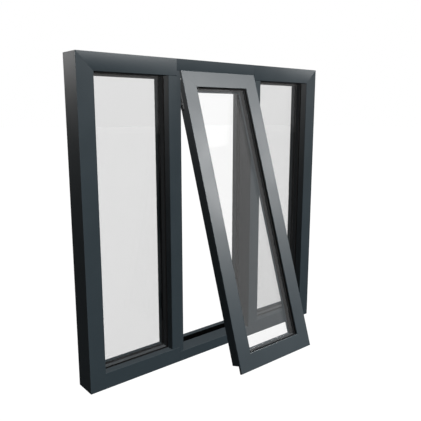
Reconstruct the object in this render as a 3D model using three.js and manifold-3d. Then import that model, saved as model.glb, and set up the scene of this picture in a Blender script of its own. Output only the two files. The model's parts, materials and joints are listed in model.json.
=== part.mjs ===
// A three-light window: two fixed lights with a top-hung, outward-opening sash between them.
// The sash hangs on a pair of stays, and a crank with a worm drive on the room side swings it.
// Millimetres, +Z up, +X to the right seen from outdoors, +Y towards the room.
// Origin: centre of the underside. The sash stands open by OPEN_ANGLE.
import * as THREE from 'three';
import { mergeVertices } from 'three/addons/utils/BufferGeometryUtils.js';
import Module from 'manifold-3d';

const wasm = await Module();
wasm.setup();

// ---- driving dimensions ----

// outer frame
const FRAME_WIDTH = 1000;
const FRAME_HEIGHT = 1000;
const FRAME_DEPTH = 77;
const WALL = 2.5; // wall of the hollow extrusions
const FACE = 52; // face width round a fixed light
const SASH_LIGHT_FACE = 35; // face width of head and sill at the sash
const MULLION_FIXED_HALF = 32; // mullion centre line to a fixed light
const MULLION_SASH_HALF = 14.7; // mullion centre line to the sash's opening
const LEDGE = 26; // depth of the lip in front of the fixed glazing
const REBATE = 14; // rebate floor to sightline
const STOP_DEPTH = 19.3; // room-side stop that the sash closes on
const STOP_HEIGHT = 17.7;
const EDGE_ROUND = 1.2; // radius of the profiles' outer edges

// glazing, in both the fixed lights and the sash
const PANE = 4;
const CAVITY = 16;
const GLASS_BITE = 10; // glass edge behind the sightline
const SPACER_HEIGHT = 9.6;
const SPACER_PROUD = 1.6; // spacer past the sightline
const GASKET_HEIGHT = 6;
const FIXED_GASKET = 4; // gap between lip and glass in the fixed lights
const FIXED_WEDGE = 6; // gap between glass and bead in the fixed lights
const WEDGE_RISE = 5; // how far that wedge stands past the sightline
const SASH_GASKET = 5.5;
const SASH_WEDGE = 3.7;

// glazing beads: how far their corners stand past the sightline, and where they lie in depth
const FIXED_BEAD_FRONT = 4;
const FIXED_BEAD_SHOULDER = 5.2;
const FIXED_BEAD_SHOULDER_IN = 2; // from the wedge
const FIXED_BEAD_CREST = 7.8;
const FIXED_BEAD_CREST_IN = 6.7; // from the room-side face
const FIXED_BEAD_BACK = 3;
const SASH_BEAD_CREST = 6;
const SASH_BEAD_CREST_IN = 3; // from the wedge
const SASH_BEAD_SHOULDER = 2.2;
const SASH_BEAD_SHOULDER_IN = 6; // from the wedge
const SASH_BEAD_TOE = 2; // room-side face, up from the rebate floor

// sash
const OPEN_ANGLE = THREE.MathUtils.degToRad(17.94);
const EXTRA_ANGLE = THREE.MathUtils.degToRad(4); // left to open past OPEN_ANGLE
const SASH_FACE = 50.8;
const SASH_FLANGE = 4.5; // in front of its glazing
const LIP = 7.3; // thickness of the lip that covers the frame
const LIP_OVERLAP = 5.4;
const SASH_GAP = 11.8; // hardware gap between sash body and frame
const TOP_EDGE_DROP = 5.1; // how far the lip's top edge comes down when the sash opens
const TOP_EDGE_IN = 0.1; // and how far it goes in
const SEAL_SPACE = 7.3; // room-side face of the shut sash to the stop
const SEAL_BASE = 2.5;

// stays
const STAY_SETBACK = 17.7; // plane of the pivots in front of the stop
const STAY_TOP = 13.4; // upper pivot below the lip's top edge
const STAY_REACH = 80; // upper pivot to lower pivot
const STAY_PLATE = 3;
const STAY_WIDTH = 13;
const STAY_PIN_R = 2.5;
const ELBOW_BOSS_R = 5.5;
const SHOE_BOSS_R = 3;
const SHOE_FLANGE_R = 5.5;
const SHOE_FLANGE = 2;
const TRACK_MARGIN = 5; // track past its slot
const TRACK_TAIL = 14; // track below the arm's pivot
const SASH_PLATE_TAIL = 14; // sash plate below the lower pivot

// crank operator
const SHAFT_R = 4.2; // cross shaft
const WHEEL_TEETH = 30;
const WHEEL_R = 15;
const TOOTH = 2.2;
const WHEEL_WIDTH = 9;
const TOOTH_ROOT_SHARE = 0.3; // shares of the pitch: root, then rising flank, then tip
const TOOTH_FLANK_SHARE = 0.2;
const TOOTH_TIP_SHARE = 0.3;
const WORM_R = 5;
const WORM_THREAD = 1.6;
const WORM_PITCH = 4;
const WORM_LENGTH = 26;
const SPINDLE_R = 3;
const BOX_WALL = 2.5;
const BOX_WIDTH = 24;
const WHEEL_CLEAR = 2.5; // worm and wheel to the walls of the gear box
const COVER_PLATE = 4;
const COVER_WIDTH = 33;
const COVER_MARGIN = 10; // cover past the gear box, above and below
const BOSS_R = 9;
const BOSS_LENGTH = 18;
const SCREW_R = 2;
const SCREW_HEAD_R = 3.6;
const SCREW_HEAD = 2.2;
const SCREW_LENGTH = 9;
const CRANK_RADIUS = 80;
const CRANK_ARM = 7; // thickness
const CRANK_HUB_R = 9.5;
const CRANK_HUB = 15; // length
const CRANK_TIP_R = 7;
const CRANK_LEAN = THREE.MathUtils.degToRad(22); // arm from straight down at rest
const KNOB_R = 10.5;
const KNOB_LENGTH = 34;
const KNOB_ROUND = 3;
const KNOB_PIN_R = 3;
const KNOB_PIN_HEAD_R = 5;
const KNOB_PIN_HEAD = 1.5;

// clearances
const GAP = 0.3; // between touching pieces
const RUN = 0.3; // round pins and shafts

// facets of the curved surfaces
const EDGE_FACETS = 3;
const PLATE_FACETS = 8; // per curve of a plate's outline
const ROD_FACETS = 24;
const THREAD_FACETS = 20;
const THREAD_STEPS = 12; // per turn
const KNOB_FACETS = 28;
const KNOB_EDGE_FACETS = 4;

// ---- derived sizes ----

// x from the left edge, y from the outer face, z from the underside
const MODULE = FRAME_WIDTH / 3;
const STOP_Y = FRAME_DEPTH - STOP_DEPTH;
const STAY_Y = STOP_Y - STAY_SETBACK;
const OPENING = {
  x: MODULE + MULLION_SASH_HALF,
  z: SASH_LIGHT_FACE,
  width: MODULE - 2 * MULLION_SASH_HALF,
  height: FRAME_HEIGHT - 2 * SASH_LIGHT_FACE,
};
const grown = ({ x, z, width, height }, by) => ({
  x: x - by,
  z: z - by,
  width: width + 2 * by,
  height: height + 2 * by,
});
const LIP_RECT = grown(OPENING, LIP_OVERLAP);
const LIP_TOP = LIP_RECT.z + LIP_RECT.height;
const LIP_FRONT = -LIP - GAP;
const SHUT_FACE_Y = STOP_Y - SEAL_SPACE;
const SASH_DEPTH = SHUT_FACE_Y - LIP_FRONT;
const SASH_BODY_INSET = LIP_OVERLAP + SASH_GAP; // body behind the lip's edge

// Upper stay pivot with the sash shut, and its place when the sash is open: [y, z] pairs
const swung = (y, z, angle) => [
  y * Math.cos(angle) + z * Math.sin(angle),
  z * Math.cos(angle) - y * Math.sin(angle),
];
const SHUT_PIVOT = [STAY_Y, LIP_TOP - STAY_TOP];
const OPEN_LIP_CORNER = swung(LIP_FRONT - STAY_Y, STAY_TOP, OPEN_ANGLE);
const OPEN_PIVOT = [
  LIP_FRONT + TOP_EDGE_IN - OPEN_LIP_CORNER[0],
  LIP_TOP - TOP_EDGE_DROP - OPEN_LIP_CORNER[1],
];
const pivotAt = (angle) =>
  SHUT_PIVOT.map((shut, i) => shut + ((OPEN_PIVOT[i] - shut) * angle) / OPEN_ANGLE);

// Lower stay pivot, shut and open, and the arm's fixed pivot at one distance from both
const SHUT_ELBOW_Z = SHUT_PIVOT[1] - STAY_REACH;
const OPEN_ELBOW_DROP = swung(0, -STAY_REACH, OPEN_ANGLE);
const OPEN_ELBOW = [OPEN_PIVOT[0] + OPEN_ELBOW_DROP[0], OPEN_PIVOT[1] + OPEN_ELBOW_DROP[1]];
const ELBOW_OUT = STAY_Y - OPEN_ELBOW[0];
const ARM_PIVOT_Z =
  (SHUT_ELBOW_Z ** 2 - OPEN_ELBOW[1] ** 2 - ELBOW_OUT ** 2) /
  (2 * (SHUT_ELBOW_Z - OPEN_ELBOW[1]));
const ARM_LENGTH = SHUT_ELBOW_Z - ARM_PIVOT_Z;
const ARM_ANGLE = Math.atan2(ELBOW_OUT, OPEN_ELBOW[1] - ARM_PIVOT_Z);

// ---- materials ----

const finish = (color, roughness, metalness) =>
  new THREE.MeshStandardMaterial({ color, roughness, metalness });
const powderCoat = finish('#32393d', 0.5, 0.1);
const rubber = finish('#101112', 0.8, 0);
const spacerBar = finish('#4a4d4f', 0.5, 0.3);
const glass = finish('#dfe6e6', 0.05, 0);
const blackSteel = finish('#2b2d2f', 0.45, 0.7);
const castMetal = finish('#33383b', 0.5, 0.3);
const steel = finish('#8c8f91', 0.35, 0.9);
const knobPlastic = finish('#1d1f20', 0.55, 0);

// ---- geometry helpers ----

// A closed outline, anticlockwise, from [u, v] or [u, v, radius] corners; a radius rounds its
// corner.
function outline(corners) {
  const points = corners.map(([u, v]) => new THREE.Vector2(u, v));
  const ordered = THREE.ShapeUtils.isClockWise(points) ? [...corners].reverse() : corners;
  const at = (i) => {
    const [u, v] = ordered[(i + ordered.length) % ordered.length];
    return new THREE.Vector2(u, v);
  };
  const shape = new THREE.Shape();
  ordered.forEach(([u, v, radius = 0], i) => {
    const corner = at(i);
    const from = at(i - 1).sub(corner).setLength(radius).add(corner);
    const to = at(i + 1).sub(corner).setLength(radius).add(corner);
    if (i === 0) shape.moveTo(from.x, from.y);
    else shape.lineTo(from.x, from.y);
    if (radius > 0) shape.quadraticCurveTo(u, v, to.x, to.y);
  });
  shape.closePath();
  return shape;
}

function hollow(corners, chamber) {
  const shape = outline(corners);
  shape.holes.push(outline(chamber));
  return shape;
}

const rectangle = (u0, u1, v0, v1) => [
  [u0, v0],
  [u1, v0],
  [u1, v1],
  [u0, v1],
];

// Turns a drawing in (u, v) with its depth along w into u = Y, v = Z, w = X.
const ALONG_X = new THREE.Matrix4().makeBasis(
  new THREE.Vector3(0, 1, 0),
  new THREE.Vector3(0, 0, 1),
  new THREE.Vector3(1, 0, 0),
);

function extrudeX(shape, x0, x1, curveSegments = EDGE_FACETS) {
  const options = { depth: x1 - x0, bevelEnabled: false, curveSegments };
  return new THREE.ExtrudeGeometry(shape, options).applyMatrix4(ALONG_X).translate(x0, 0, 0);
}

// A bar of the given section along +X. Its v = 0 line runs the full length, and a mitred end
// (1, not 0) draws in by v. Half a gap is left at each end.
function bar(section, length, startMitre, endMitre) {
  const geometry = extrudeX(section, 0, length);
  const position = geometry.attributes.position;
  for (let i = 0; i < position.count; i++) {
    const atStart = position.getX(i) < length / 2;
    const mitre = atStart ? startMitre : endMitre;
    const inset = (GAP / 2) * Math.hypot(1, mitre) + mitre * position.getZ(i);
    position.setX(i, atStart ? inset : length - inset);
  }
  geometry.computeVertexNormals();
  return geometry;
}

// The closed section of [u, v] corners run round a rectangle, v pointing inwards.
function ring(corners, { x, z, width, height }) {
  const points = corners.map(([u, v]) => new THREE.Vector2(u, v));
  if (THREE.ShapeUtils.isClockWise(points)) points.reverse();
  const vertices = [];
  for (const [right, top] of [[0, 0], [1, 0], [1, 1], [0, 1]]) {
    for (const { x: u, y: v } of points) {
      vertices.push(x + (right ? width - v : v), u, z + (top ? height - v : v));
    }
  }
  const count = points.length;
  const index = [];
  for (let side = 0; side < 4; side++) {
    const here = side * count;
    const next = ((side + 1) % 4) * count;
    for (let i = 0; i < count; i++) {
      const j = (i + 1) % count;
      index.push(here + i, here + j, next + j, here + i, next + j, next + i);
    }
  }
  const geometry = new THREE.BufferGeometry();
  geometry.setAttribute('position', new THREE.Float32BufferAttribute(vertices, 3));
  geometry.setIndex(index);
  return geometry;
}

function block(x0, x1, y0, y1, z0, z1) {
  const geometry = new THREE.BoxGeometry(x1 - x0, y1 - y0, z1 - z0);
  return geometry.translate((x0 + x1) / 2, (y0 + y1) / 2, (z0 + z1) / 2);
}

function rodX(radius, x0, x1, y, z) {
  const geometry = new THREE.CylinderGeometry(radius, radius, x1 - x0, ROD_FACETS);
  return geometry.rotateZ(-Math.PI / 2).translate((x0 + x1) / 2, y, z);
}

function rodY(radius, y0, y1, x, z) {
  const geometry = new THREE.CylinderGeometry(radius, radius, y1 - y0, ROD_FACETS);
  return geometry.translate(x, (y0 + y1) / 2, z);
}

function circle(u, v, radius) {
  return new THREE.Path().absarc(u, v, radius, 0, 2 * Math.PI);
}

// A strip with round ends of radii r0 and r1 about two points.
function strip(u0, v0, r0, u1, v1, r1) {
  const along = Math.atan2(v1 - v0, u1 - u0);
  const shape = new THREE.Shape();
  shape.absarc(u1, v1, r1, along - Math.PI / 2, along + Math.PI / 2);
  shape.absarc(u0, v0, r0, along + Math.PI / 2, along + (3 * Math.PI) / 2);
  shape.closePath();
  return shape;
}

// ---- booleans ----

function solid(geometry) {
  const bare = geometry.clone();
  bare.deleteAttribute('normal');
  bare.deleteAttribute('uv');
  const merged = mergeVertices(bare, 1e-4);
  const mesh = new wasm.Mesh({
    numProp: 3,
    vertProperties: new Float32Array(merged.attributes.position.array),
    triVerts: new Uint32Array(merged.index.array),
  });
  return new wasm.Manifold(mesh);
}

function geometryOf(body) {
  const mesh = body.getMesh();
  const geometry = new THREE.BufferGeometry();
  geometry.setAttribute('position', new THREE.Float32BufferAttribute(mesh.vertProperties, 3));
  geometry.setIndex(Array.from(mesh.triVerts));
  geometry.computeVertexNormals();
  return geometry;
}

const join = (first, ...others) =>
  geometryOf(others.reduce((sum, other) => sum.add(solid(other)), solid(first)));
const cut = (first, ...others) =>
  geometryOf(others.reduce((rest, other) => rest.subtract(solid(other)), solid(first)));

// ---- scene graph ----

const product = new THREE.Group();
const frame = new THREE.Group();
frame.position.set(-FRAME_WIDTH / 2, -FRAME_DEPTH / 2, 0);
product.add(frame);

// The sash is drawn shut, and this pair of groups swings it open about its moved pivot.
const sashHinge = new THREE.Group();
sashHinge.position.set(0, ...OPEN_PIVOT);
sashHinge.rotation.x = -OPEN_ANGLE;
const sash = new THREE.Group();
sash.position.set(0, -SHUT_PIVOT[0], -SHUT_PIVOT[1]);
sashHinge.add(sash);
frame.add(sashHinge);

function piece(parent, name, geometry, material) {
  const mesh = new THREE.Mesh(geometry, material);
  mesh.name = name;
  parent.add(mesh);
  return mesh;
}

// Lays a bar along one side of a rectangle, its v axis pointing inwards.
function placeSide(mesh, side, { x, z, width, height }) {
  const places = {
    bottom: [0, x, z],
    right: [-1, x + width, z],
    top: [2, x + width, z + height],
    left: [1, x, z + height],
  };
  const [quarterTurns, cornerX, cornerZ] = places[side];
  mesh.rotation.y = (quarterTurns * Math.PI) / 2;
  mesh.position.set(cornerX, 0, cornerZ);
}

// Four mitred bars of one section round a rectangle.
function mitredFrame(parent, names, section, rect, material) {
  for (const [side, name] of Object.entries(names)) {
    const upright = side === 'left' || side === 'right';
    const length = upright ? rect.height : rect.width;
    placeSide(piece(parent, name, bar(section, length, 1, 1), material), side, rect);
  }
}

// ---- outer frame ----

const fixedContour = (grow, round) => [
  [-grow, -grow],
  [-grow, FACE + grow, round],
  [LEDGE + grow, FACE + grow, round],
  [LEDGE + grow, FACE - REBATE + grow],
  [FRAME_DEPTH + grow, FACE - REBATE + grow],
  [FRAME_DEPTH + grow, -grow],
];
const sashLightContour = (grow, round) => [
  [-grow, -grow],
  [-grow, SASH_LIGHT_FACE + grow, round],
  [STOP_Y - grow, SASH_LIGHT_FACE + grow],
  [STOP_Y - grow, SASH_LIGHT_FACE + STOP_HEIGHT + grow],
  [FRAME_DEPTH + grow, SASH_LIGHT_FACE + STOP_HEIGHT + grow, round],
  [FRAME_DEPTH + grow, -grow],
];
const fixedSection = hollow(fixedContour(0, EDGE_ROUND), [
  [WALL, WALL],
  [WALL, FACE - WALL],
  [LEDGE - WALL, FACE - WALL],
  [LEDGE - WALL, FACE - REBATE - WALL],
  [FRAME_DEPTH - WALL, FACE - REBATE - WALL],
  [FRAME_DEPTH - WALL, WALL],
]);
const sashLightSection = hollow(sashLightContour(0, EDGE_ROUND), [
  [WALL, WALL],
  [WALL, SASH_LIGHT_FACE - WALL],
  [STOP_Y + WALL, SASH_LIGHT_FACE - WALL],
  [STOP_Y + WALL, SASH_LIGHT_FACE + STOP_HEIGHT - WALL],
  [FRAME_DEPTH - WALL, SASH_LIGHT_FACE + STOP_HEIGHT - WALL],
  [FRAME_DEPTH - WALL, WALL],
]);

const FRAME_RECT = { x: 0, z: 0, width: FRAME_WIDTH, height: FRAME_HEIGHT };
for (const side of ['left', 'right']) {
  const jamb = piece(frame, `jamb_${side}`, bar(fixedSection, FRAME_HEIGHT, 1, 1), powderCoat);
  placeSide(jamb, side, FRAME_RECT);
}
// Head and sill are three lengths each, which meet on the mullions' centre lines. The mitres
// are those at the start and end of the bar as it is laid.
for (const [light, third, section, sillMitres, headMitres] of [
  ['left', 0, fixedSection, [1, 0], [0, 1]],
  ['centre', 1, sashLightSection, [0, 0], [0, 0]],
  ['right', 2, fixedSection, [0, 1], [1, 0]],
]) {
  const rect = { x: third * MODULE, z: 0, width: MODULE, height: FRAME_HEIGHT };
  const sill = piece(frame, `sill_${light}`, bar(section, MODULE, ...sillMitres), powderCoat);
  placeSide(sill, 'bottom', rect);
  const head = piece(frame, `head_${light}`, bar(section, MODULE, ...headMitres), powderCoat);
  placeSide(head, 'top', rect);
}

// ---- crank operator sizes ----

const SPINDLE_Z = ARM_PIVOT_Z + WHEEL_R + WORM_R + GAP;
const BOX_X1 = OPENING.x - WALL - GAP;
const BOX_X0 = BOX_X1 - BOX_WIDTH;
const BOX_Y0 = STAY_Y - WHEEL_R - WHEEL_CLEAR - BOX_WALL;
const BOX_Z0 = ARM_PIVOT_Z - WHEEL_R - WHEEL_CLEAR - BOX_WALL;
const BOX_Z1 = SPINDLE_Z + WORM_R + WHEEL_CLEAR + BOX_WALL;
const WHEEL_X = (BOX_X0 + BOX_X1) / 2;
const COVER_Y = FRAME_DEPTH + GAP;
const COVER_FACE_Y = COVER_Y + COVER_PLATE;
const SCREW_ZS = [BOX_Z0 - COVER_MARGIN / 2, BOX_Z1 + COVER_MARGIN / 2];

// ---- mullions ----

// u = depth, v across, with v = 0 on the centre line and the sash on the +v side
const mullionSection = hollow(
  [
    [0, -MULLION_FIXED_HALF, EDGE_ROUND],
    [LEDGE, -MULLION_FIXED_HALF, EDGE_ROUND],
    [LEDGE, REBATE - MULLION_FIXED_HALF],
    [FRAME_DEPTH, REBATE - MULLION_FIXED_HALF],
    [FRAME_DEPTH, MULLION_SASH_HALF + STOP_HEIGHT, EDGE_ROUND],
    [STOP_Y, MULLION_SASH_HALF + STOP_HEIGHT],
    [STOP_Y, MULLION_SASH_HALF],
    [0, MULLION_SASH_HALF, EDGE_ROUND],
  ],
  [
    [WALL, WALL - MULLION_FIXED_HALF],
    [LEDGE - WALL, WALL - MULLION_FIXED_HALF],
    [LEDGE - WALL, REBATE + WALL - MULLION_FIXED_HALF],
    [FRAME_DEPTH - WALL, REBATE + WALL - MULLION_FIXED_HALF],
    [FRAME_DEPTH - WALL, MULLION_SASH_HALF + STOP_HEIGHT - WALL],
    [STOP_Y + WALL, MULLION_SASH_HALF + STOP_HEIGHT - WALL],
    [STOP_Y + WALL, MULLION_SASH_HALF - WALL],
    [WALL, MULLION_SASH_HALF - WALL],
  ],
);

// The room that head and sill take at a mullion's ends, with the joint gap, about x = 0.
function railRoom(contour, x0, x1) {
  const shape = outline(contour(GAP, 0));
  const below = extrudeX(shape, x0, x1);
  const above = extrudeX(shape, -x1, -x0).rotateY(Math.PI).translate(0, 0, FRAME_HEIGHT);
  return [below, above];
}

function mullionBlank() {
  const length = FRAME_HEIGHT - 2 * SASH_LIGHT_FACE;
  const blank = bar(mullionSection, length, 0, 0);
  blank.rotateY(Math.PI / 2).translate(0, 0, FRAME_HEIGHT - SASH_LIGHT_FACE);
  return cut(
    blank,
    ...railRoom(fixedContour, -2 * MULLION_FIXED_HALF, GAP / 2),
    ...railRoom(sashLightContour, -GAP / 2, 2 * MULLION_FIXED_HALF),
  );
}

// The left mullion takes the gear box from the room side, its screws and the cross shaft.
const gearBoxPocket = block(
  BOX_X0 - GAP,
  BOX_X1 + GAP,
  FRAME_DEPTH - 2 * WALL,
  FRAME_DEPTH + WALL,
  BOX_Z0 - GAP,
  BOX_Z1 + GAP,
);
const shaftHole = rodX(SHAFT_R + RUN, BOX_X1, OPENING.x + WALL, STAY_Y, ARM_PIVOT_Z);
const screwHoles = SCREW_ZS.map((z) =>
  rodY(SCREW_R + RUN, FRAME_DEPTH - 2 * WALL, COVER_FACE_Y + WALL, WHEEL_X, z),
);
const mullionLeftGeometry = cut(
  mullionBlank().translate(MODULE, 0, 0),
  gearBoxPocket,
  shaftHole,
  ...screwHoles,
);
piece(frame, 'mullion_left', mullionLeftGeometry, powderCoat);
const mullionRight = piece(frame, 'mullion_right', mullionBlank(), powderCoat);
mullionRight.rotation.y = Math.PI;
mullionRight.position.set(2 * MODULE, 0, FRAME_HEIGHT);

// A rubber ring on the stop, with a lip that the shut sash touches.
const sealBack = STOP_Y - GAP;
const sealFront = sealBack - SEAL_BASE;
const sealSection = [
  [sealBack, 2 * GAP],
  [sealBack, STOP_HEIGHT - GAP],
  [sealFront, STOP_HEIGHT - GAP],
  [SHUT_FACE_Y + GAP, STOP_HEIGHT - SEAL_BASE],
  [SHUT_FACE_Y + GAP, SASH_GAP + GAP],
  [sealFront, SASH_GAP],
  [sealFront, 2 * GAP],
];
piece(frame, 'centre_seal', ring(sealSection, OPENING), rubber);

// ---- glazing ----

// Sections are [y, v] with v = 0 on the sightline and v pointing into the light.
const fixedWedge = (y0, y1) => [
  [y0, -GASKET_HEIGHT],
  [y1, -GASKET_HEIGHT],
  [y1, WEDGE_RISE],
  [y0, GAP],
];
const fixedBead = (y0, y1) => [
  [y0, GAP - REBATE],
  [y1, GAP - REBATE],
  [y1, FIXED_BEAD_BACK],
  [y1 - FIXED_BEAD_CREST_IN, FIXED_BEAD_CREST],
  [y0 + FIXED_BEAD_SHOULDER_IN, FIXED_BEAD_SHOULDER],
  [y0, FIXED_BEAD_FRONT],
];
const sashWedge = (y0, y1) => rectangle(y0, y1, -GASKET_HEIGHT, GAP);
const sashBead = (y0, y1) => [
  [y0, GAP - REBATE],
  [y1, GAP - REBATE],
  [y1, SASH_BEAD_TOE - REBATE],
  [y0 + SASH_BEAD_SHOULDER_IN, SASH_BEAD_SHOULDER],
  [y0 + SASH_BEAD_CREST_IN, SASH_BEAD_CREST],
  [y0, GAP],
];

// A sealed double pane with its gaskets and beads. seatY is the back of the frame's lip, backY
// its room-side face, and sightline the rectangle that the lip leaves open.
function glaze(parent, prefix, sightline, sizes) {
  const { seatY, gasket, wedge, backY, wedgeSection, beadSection } = sizes;
  const unitY = seatY + gasket;
  const innerY = unitY + PANE + CAVITY;
  const beadY = innerY + PANE + wedge;
  const { x, z, width, height } = grown(sightline, GLASS_BITE);
  for (const [name, y] of [['outer_pane', unitY], ['inner_pane', innerY]]) {
    const pane = block(x, x + width, y, y + PANE, z, z + height);
    piece(parent, prefix + name, pane, glass);
  }
  const spacerSection = rectangle(
    unitY + PANE + GAP,
    innerY - GAP,
    SPACER_PROUD - SPACER_HEIGHT,
    SPACER_PROUD,
  );
  piece(parent, `${prefix}spacer`, ring(spacerSection, sightline), spacerBar);
  const gasketSection = rectangle(seatY + GAP, unitY - GAP, -GASKET_HEIGHT, 0);
  piece(parent, `${prefix}outer_gasket`, ring(gasketSection, sightline), rubber);
  const wedgeCorners = wedgeSection(innerY + PANE + GAP, beadY - GAP);
  piece(parent, `${prefix}inner_gasket`, ring(wedgeCorners, sightline), rubber);
  const names = {};
  for (const side of ['left', 'right', 'top', 'bottom']) names[side] = `${prefix}bead_${side}`;
  const bead = outline(beadSection(beadY, backY - GAP));
  mitredFrame(parent, names, bead, sightline, powderCoat);
}

const fixedSizes = {
  seatY: LEDGE,
  gasket: FIXED_GASKET,
  wedge: FIXED_WEDGE,
  backY: FRAME_DEPTH,
  wedgeSection: fixedWedge,
  beadSection: fixedBead,
};
const fixedWidth = MODULE - FACE - MULLION_FIXED_HALF;
for (const [light, x] of [['left', FACE], ['right', 2 * MODULE + MULLION_FIXED_HALF]]) {
  const sightline = { x, z: FACE, width: fixedWidth, height: FRAME_HEIGHT - 2 * FACE };
  glaze(frame, `${light}_light_`, sightline, fixedSizes);
}

// ---- sash ----

const sashSection = hollow(
  [
    [0, 0, EDGE_ROUND],
    [0, SASH_FACE, EDGE_ROUND],
    [SASH_FLANGE, SASH_FACE],
    [SASH_FLANGE, SASH_FACE - REBATE],
    [SASH_DEPTH, SASH_FACE - REBATE],
    [SASH_DEPTH, SASH_BODY_INSET, EDGE_ROUND],
    [LIP, SASH_BODY_INSET],
    [LIP, 0],
  ],
  rectangle(LIP + WALL, SASH_DEPTH - WALL, SASH_BODY_INSET + WALL, SASH_FACE - REBATE - WALL),
);
const sashNames = {
  left: 'sash_stile_left',
  right: 'sash_stile_right',
  top: 'sash_top_rail',
  bottom: 'sash_bottom_rail',
};
// Drawn from the lip's front, so the whole sash is moved forwards by LIP_FRONT.
const sashBody = new THREE.Group();
sashBody.position.y = LIP_FRONT;
sash.add(sashBody);
mitredFrame(sashBody, sashNames, sashSection, LIP_RECT, powderCoat);
glaze(sashBody, 'sash_', grown(LIP_RECT, -SASH_FACE), {
  seatY: SASH_FLANGE,
  gasket: SASH_GASKET,
  wedge: SASH_WEDGE,
  backY: SASH_DEPTH,
  wedgeSection: sashWedge,
  beadSection: sashBead,
});

// ---- stays ----

// A span across the hardware gap on one side, from the frame towards the sash.
function span(side, from, to) {
  if (side === 'left') return [OPENING.x + from, OPENING.x + to];
  return [OPENING.x + OPENING.width - to, OPENING.x + OPENING.width - from];
}

const TRACK_FACE = GAP + STAY_PLATE;
const ARM_BACK = TRACK_FACE + GAP;
const ARM_FACE = ARM_BACK + STAY_PLATE;
const SASH_PLATE_FACE = SASH_GAP - GAP;
const SASH_PLATE_BACK = SASH_PLATE_FACE - STAY_PLATE;
const SLOT_R = SHOE_BOSS_R + RUN;
const SLOT_END = pivotAt(OPEN_ANGLE + EXTRA_ANGLE);

function stayTrack(side) {
  const shape = outline(
    rectangle(
      SLOT_END[0] - SLOT_R - TRACK_MARGIN,
      STAY_Y + SLOT_R + TRACK_MARGIN,
      ARM_PIVOT_Z - TRACK_TAIL,
      OPENING.z + OPENING.height - GAP,
    ),
  );
  shape.holes.push(strip(...SLOT_END, SLOT_R, ...SHUT_PIVOT, SLOT_R));
  const [x0, x1] = span(side, GAP, TRACK_FACE);
  if (side === 'left') {
    shape.holes.push(circle(STAY_Y, ARM_PIVOT_Z, SHAFT_R + RUN));
    return extrudeX(shape, x0, x1, PLATE_FACETS);
  }
  const [pin0, pin1] = span(side, GAP, ARM_FACE);
  return join(
    extrudeX(shape, x0, x1, PLATE_FACETS),
    rodX(STAY_PIN_R, pin0, pin1, STAY_Y, ARM_PIVOT_Z),
  );
}

// Drawn upright about its fixed pivot. The boss at the lower pivot stops short of the sash plate.
function stayArm(side) {
  const shape = strip(0, 0, STAY_WIDTH / 2, 0, ARM_LENGTH, STAY_WIDTH / 2);
  shape.holes.push(circle(0, 0, side === 'left' ? SHAFT_R + GAP : STAY_PIN_R + RUN));
  const plate = extrudeX(shape, ...span(side, ARM_BACK, ARM_FACE), PLATE_FACETS);
  const boss = span(side, ARM_BACK, SASH_PLATE_BACK - GAP);
  return join(plate, rodX(ELBOW_BOSS_R, ...boss, 0, ARM_LENGTH));
}

function stayShoe(side) {
  const [y, z] = OPEN_PIVOT;
  return join(
    rodX(SHOE_BOSS_R, ...span(side, GAP, ARM_BACK), y, z),
    rodX(SHOE_FLANGE_R, ...span(side, ARM_BACK, ARM_BACK + SHOE_FLANGE), y, z),
    rodX(STAY_PIN_R, ...span(side, ARM_BACK, SASH_PLATE_FACE), y, z),
  );
}

function sashPlate(side) {
  const tailZ = SHUT_ELBOW_Z - SASH_PLATE_TAIL;
  const shape = strip(STAY_Y, tailZ, STAY_WIDTH / 2, ...SHUT_PIVOT, STAY_WIDTH / 2);
  shape.holes.push(circle(...SHUT_PIVOT, STAY_PIN_R + RUN));
  return extrudeX(shape, ...span(side, SASH_PLATE_BACK, SASH_PLATE_FACE), PLATE_FACETS);
}

for (const side of ['left', 'right']) {
  piece(frame, `stay_track_${side}`, stayTrack(side), blackSteel);
  piece(frame, `stay_shoe_${side}`, stayShoe(side), steel);
  const arm = piece(frame, `stay_arm_${side}`, stayArm(side), blackSteel);
  arm.position.set(0, STAY_Y, ARM_PIVOT_Z);
  arm.rotation.x = ARM_ANGLE;
  piece(sash, `sash_plate_${side}`, sashPlate(side), blackSteel);
}

// ---- crank operator ----

function operatorHousing() {
  const inside = block(
    BOX_X0 + BOX_WALL,
    BOX_X1 - BOX_WALL,
    BOX_Y0 + BOX_WALL,
    FRAME_DEPTH + BOX_WALL,
    BOX_Z0 + BOX_WALL,
    BOX_Z1 - BOX_WALL,
  );
  return cut(
    block(BOX_X0, BOX_X1, BOX_Y0, FRAME_DEPTH, BOX_Z0, BOX_Z1),
    inside,
    rodX(SHAFT_R + RUN, BOX_X0 - GAP, BOX_X1 + GAP, STAY_Y, ARM_PIVOT_Z),
    rodY(SPINDLE_R + RUN, BOX_Y0 - GAP, BOX_Y0 + 2 * BOX_WALL, WHEEL_X, SPINDLE_Z),
  );
}

function operatorCover() {
  const halfWidth = COVER_WIDTH / 2;
  const plate = block(
    WHEEL_X - halfWidth,
    WHEEL_X + halfWidth,
    COVER_Y,
    COVER_FACE_Y,
    BOX_Z0 - COVER_MARGIN,
    BOX_Z1 + COVER_MARGIN,
  );
  const boss = rodY(BOSS_R, COVER_Y, COVER_FACE_Y + BOSS_LENGTH, WHEEL_X, SPINDLE_Z);
  const boreEnd = COVER_FACE_Y + 2 * BOSS_LENGTH;
  const bore = rodY(SPINDLE_R + RUN, FRAME_DEPTH, boreEnd, WHEEL_X, SPINDLE_Z);
  return cut(join(plate, boss), bore, ...screwHoles);
}

function coverScrew(z) {
  return join(
    rodY(SCREW_R, COVER_FACE_Y - SCREW_LENGTH, COVER_FACE_Y + SCREW_HEAD, WHEEL_X, z),
    rodY(SCREW_HEAD_R, COVER_FACE_Y + GAP, COVER_FACE_Y + SCREW_HEAD, WHEEL_X, z),
  );
}

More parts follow.
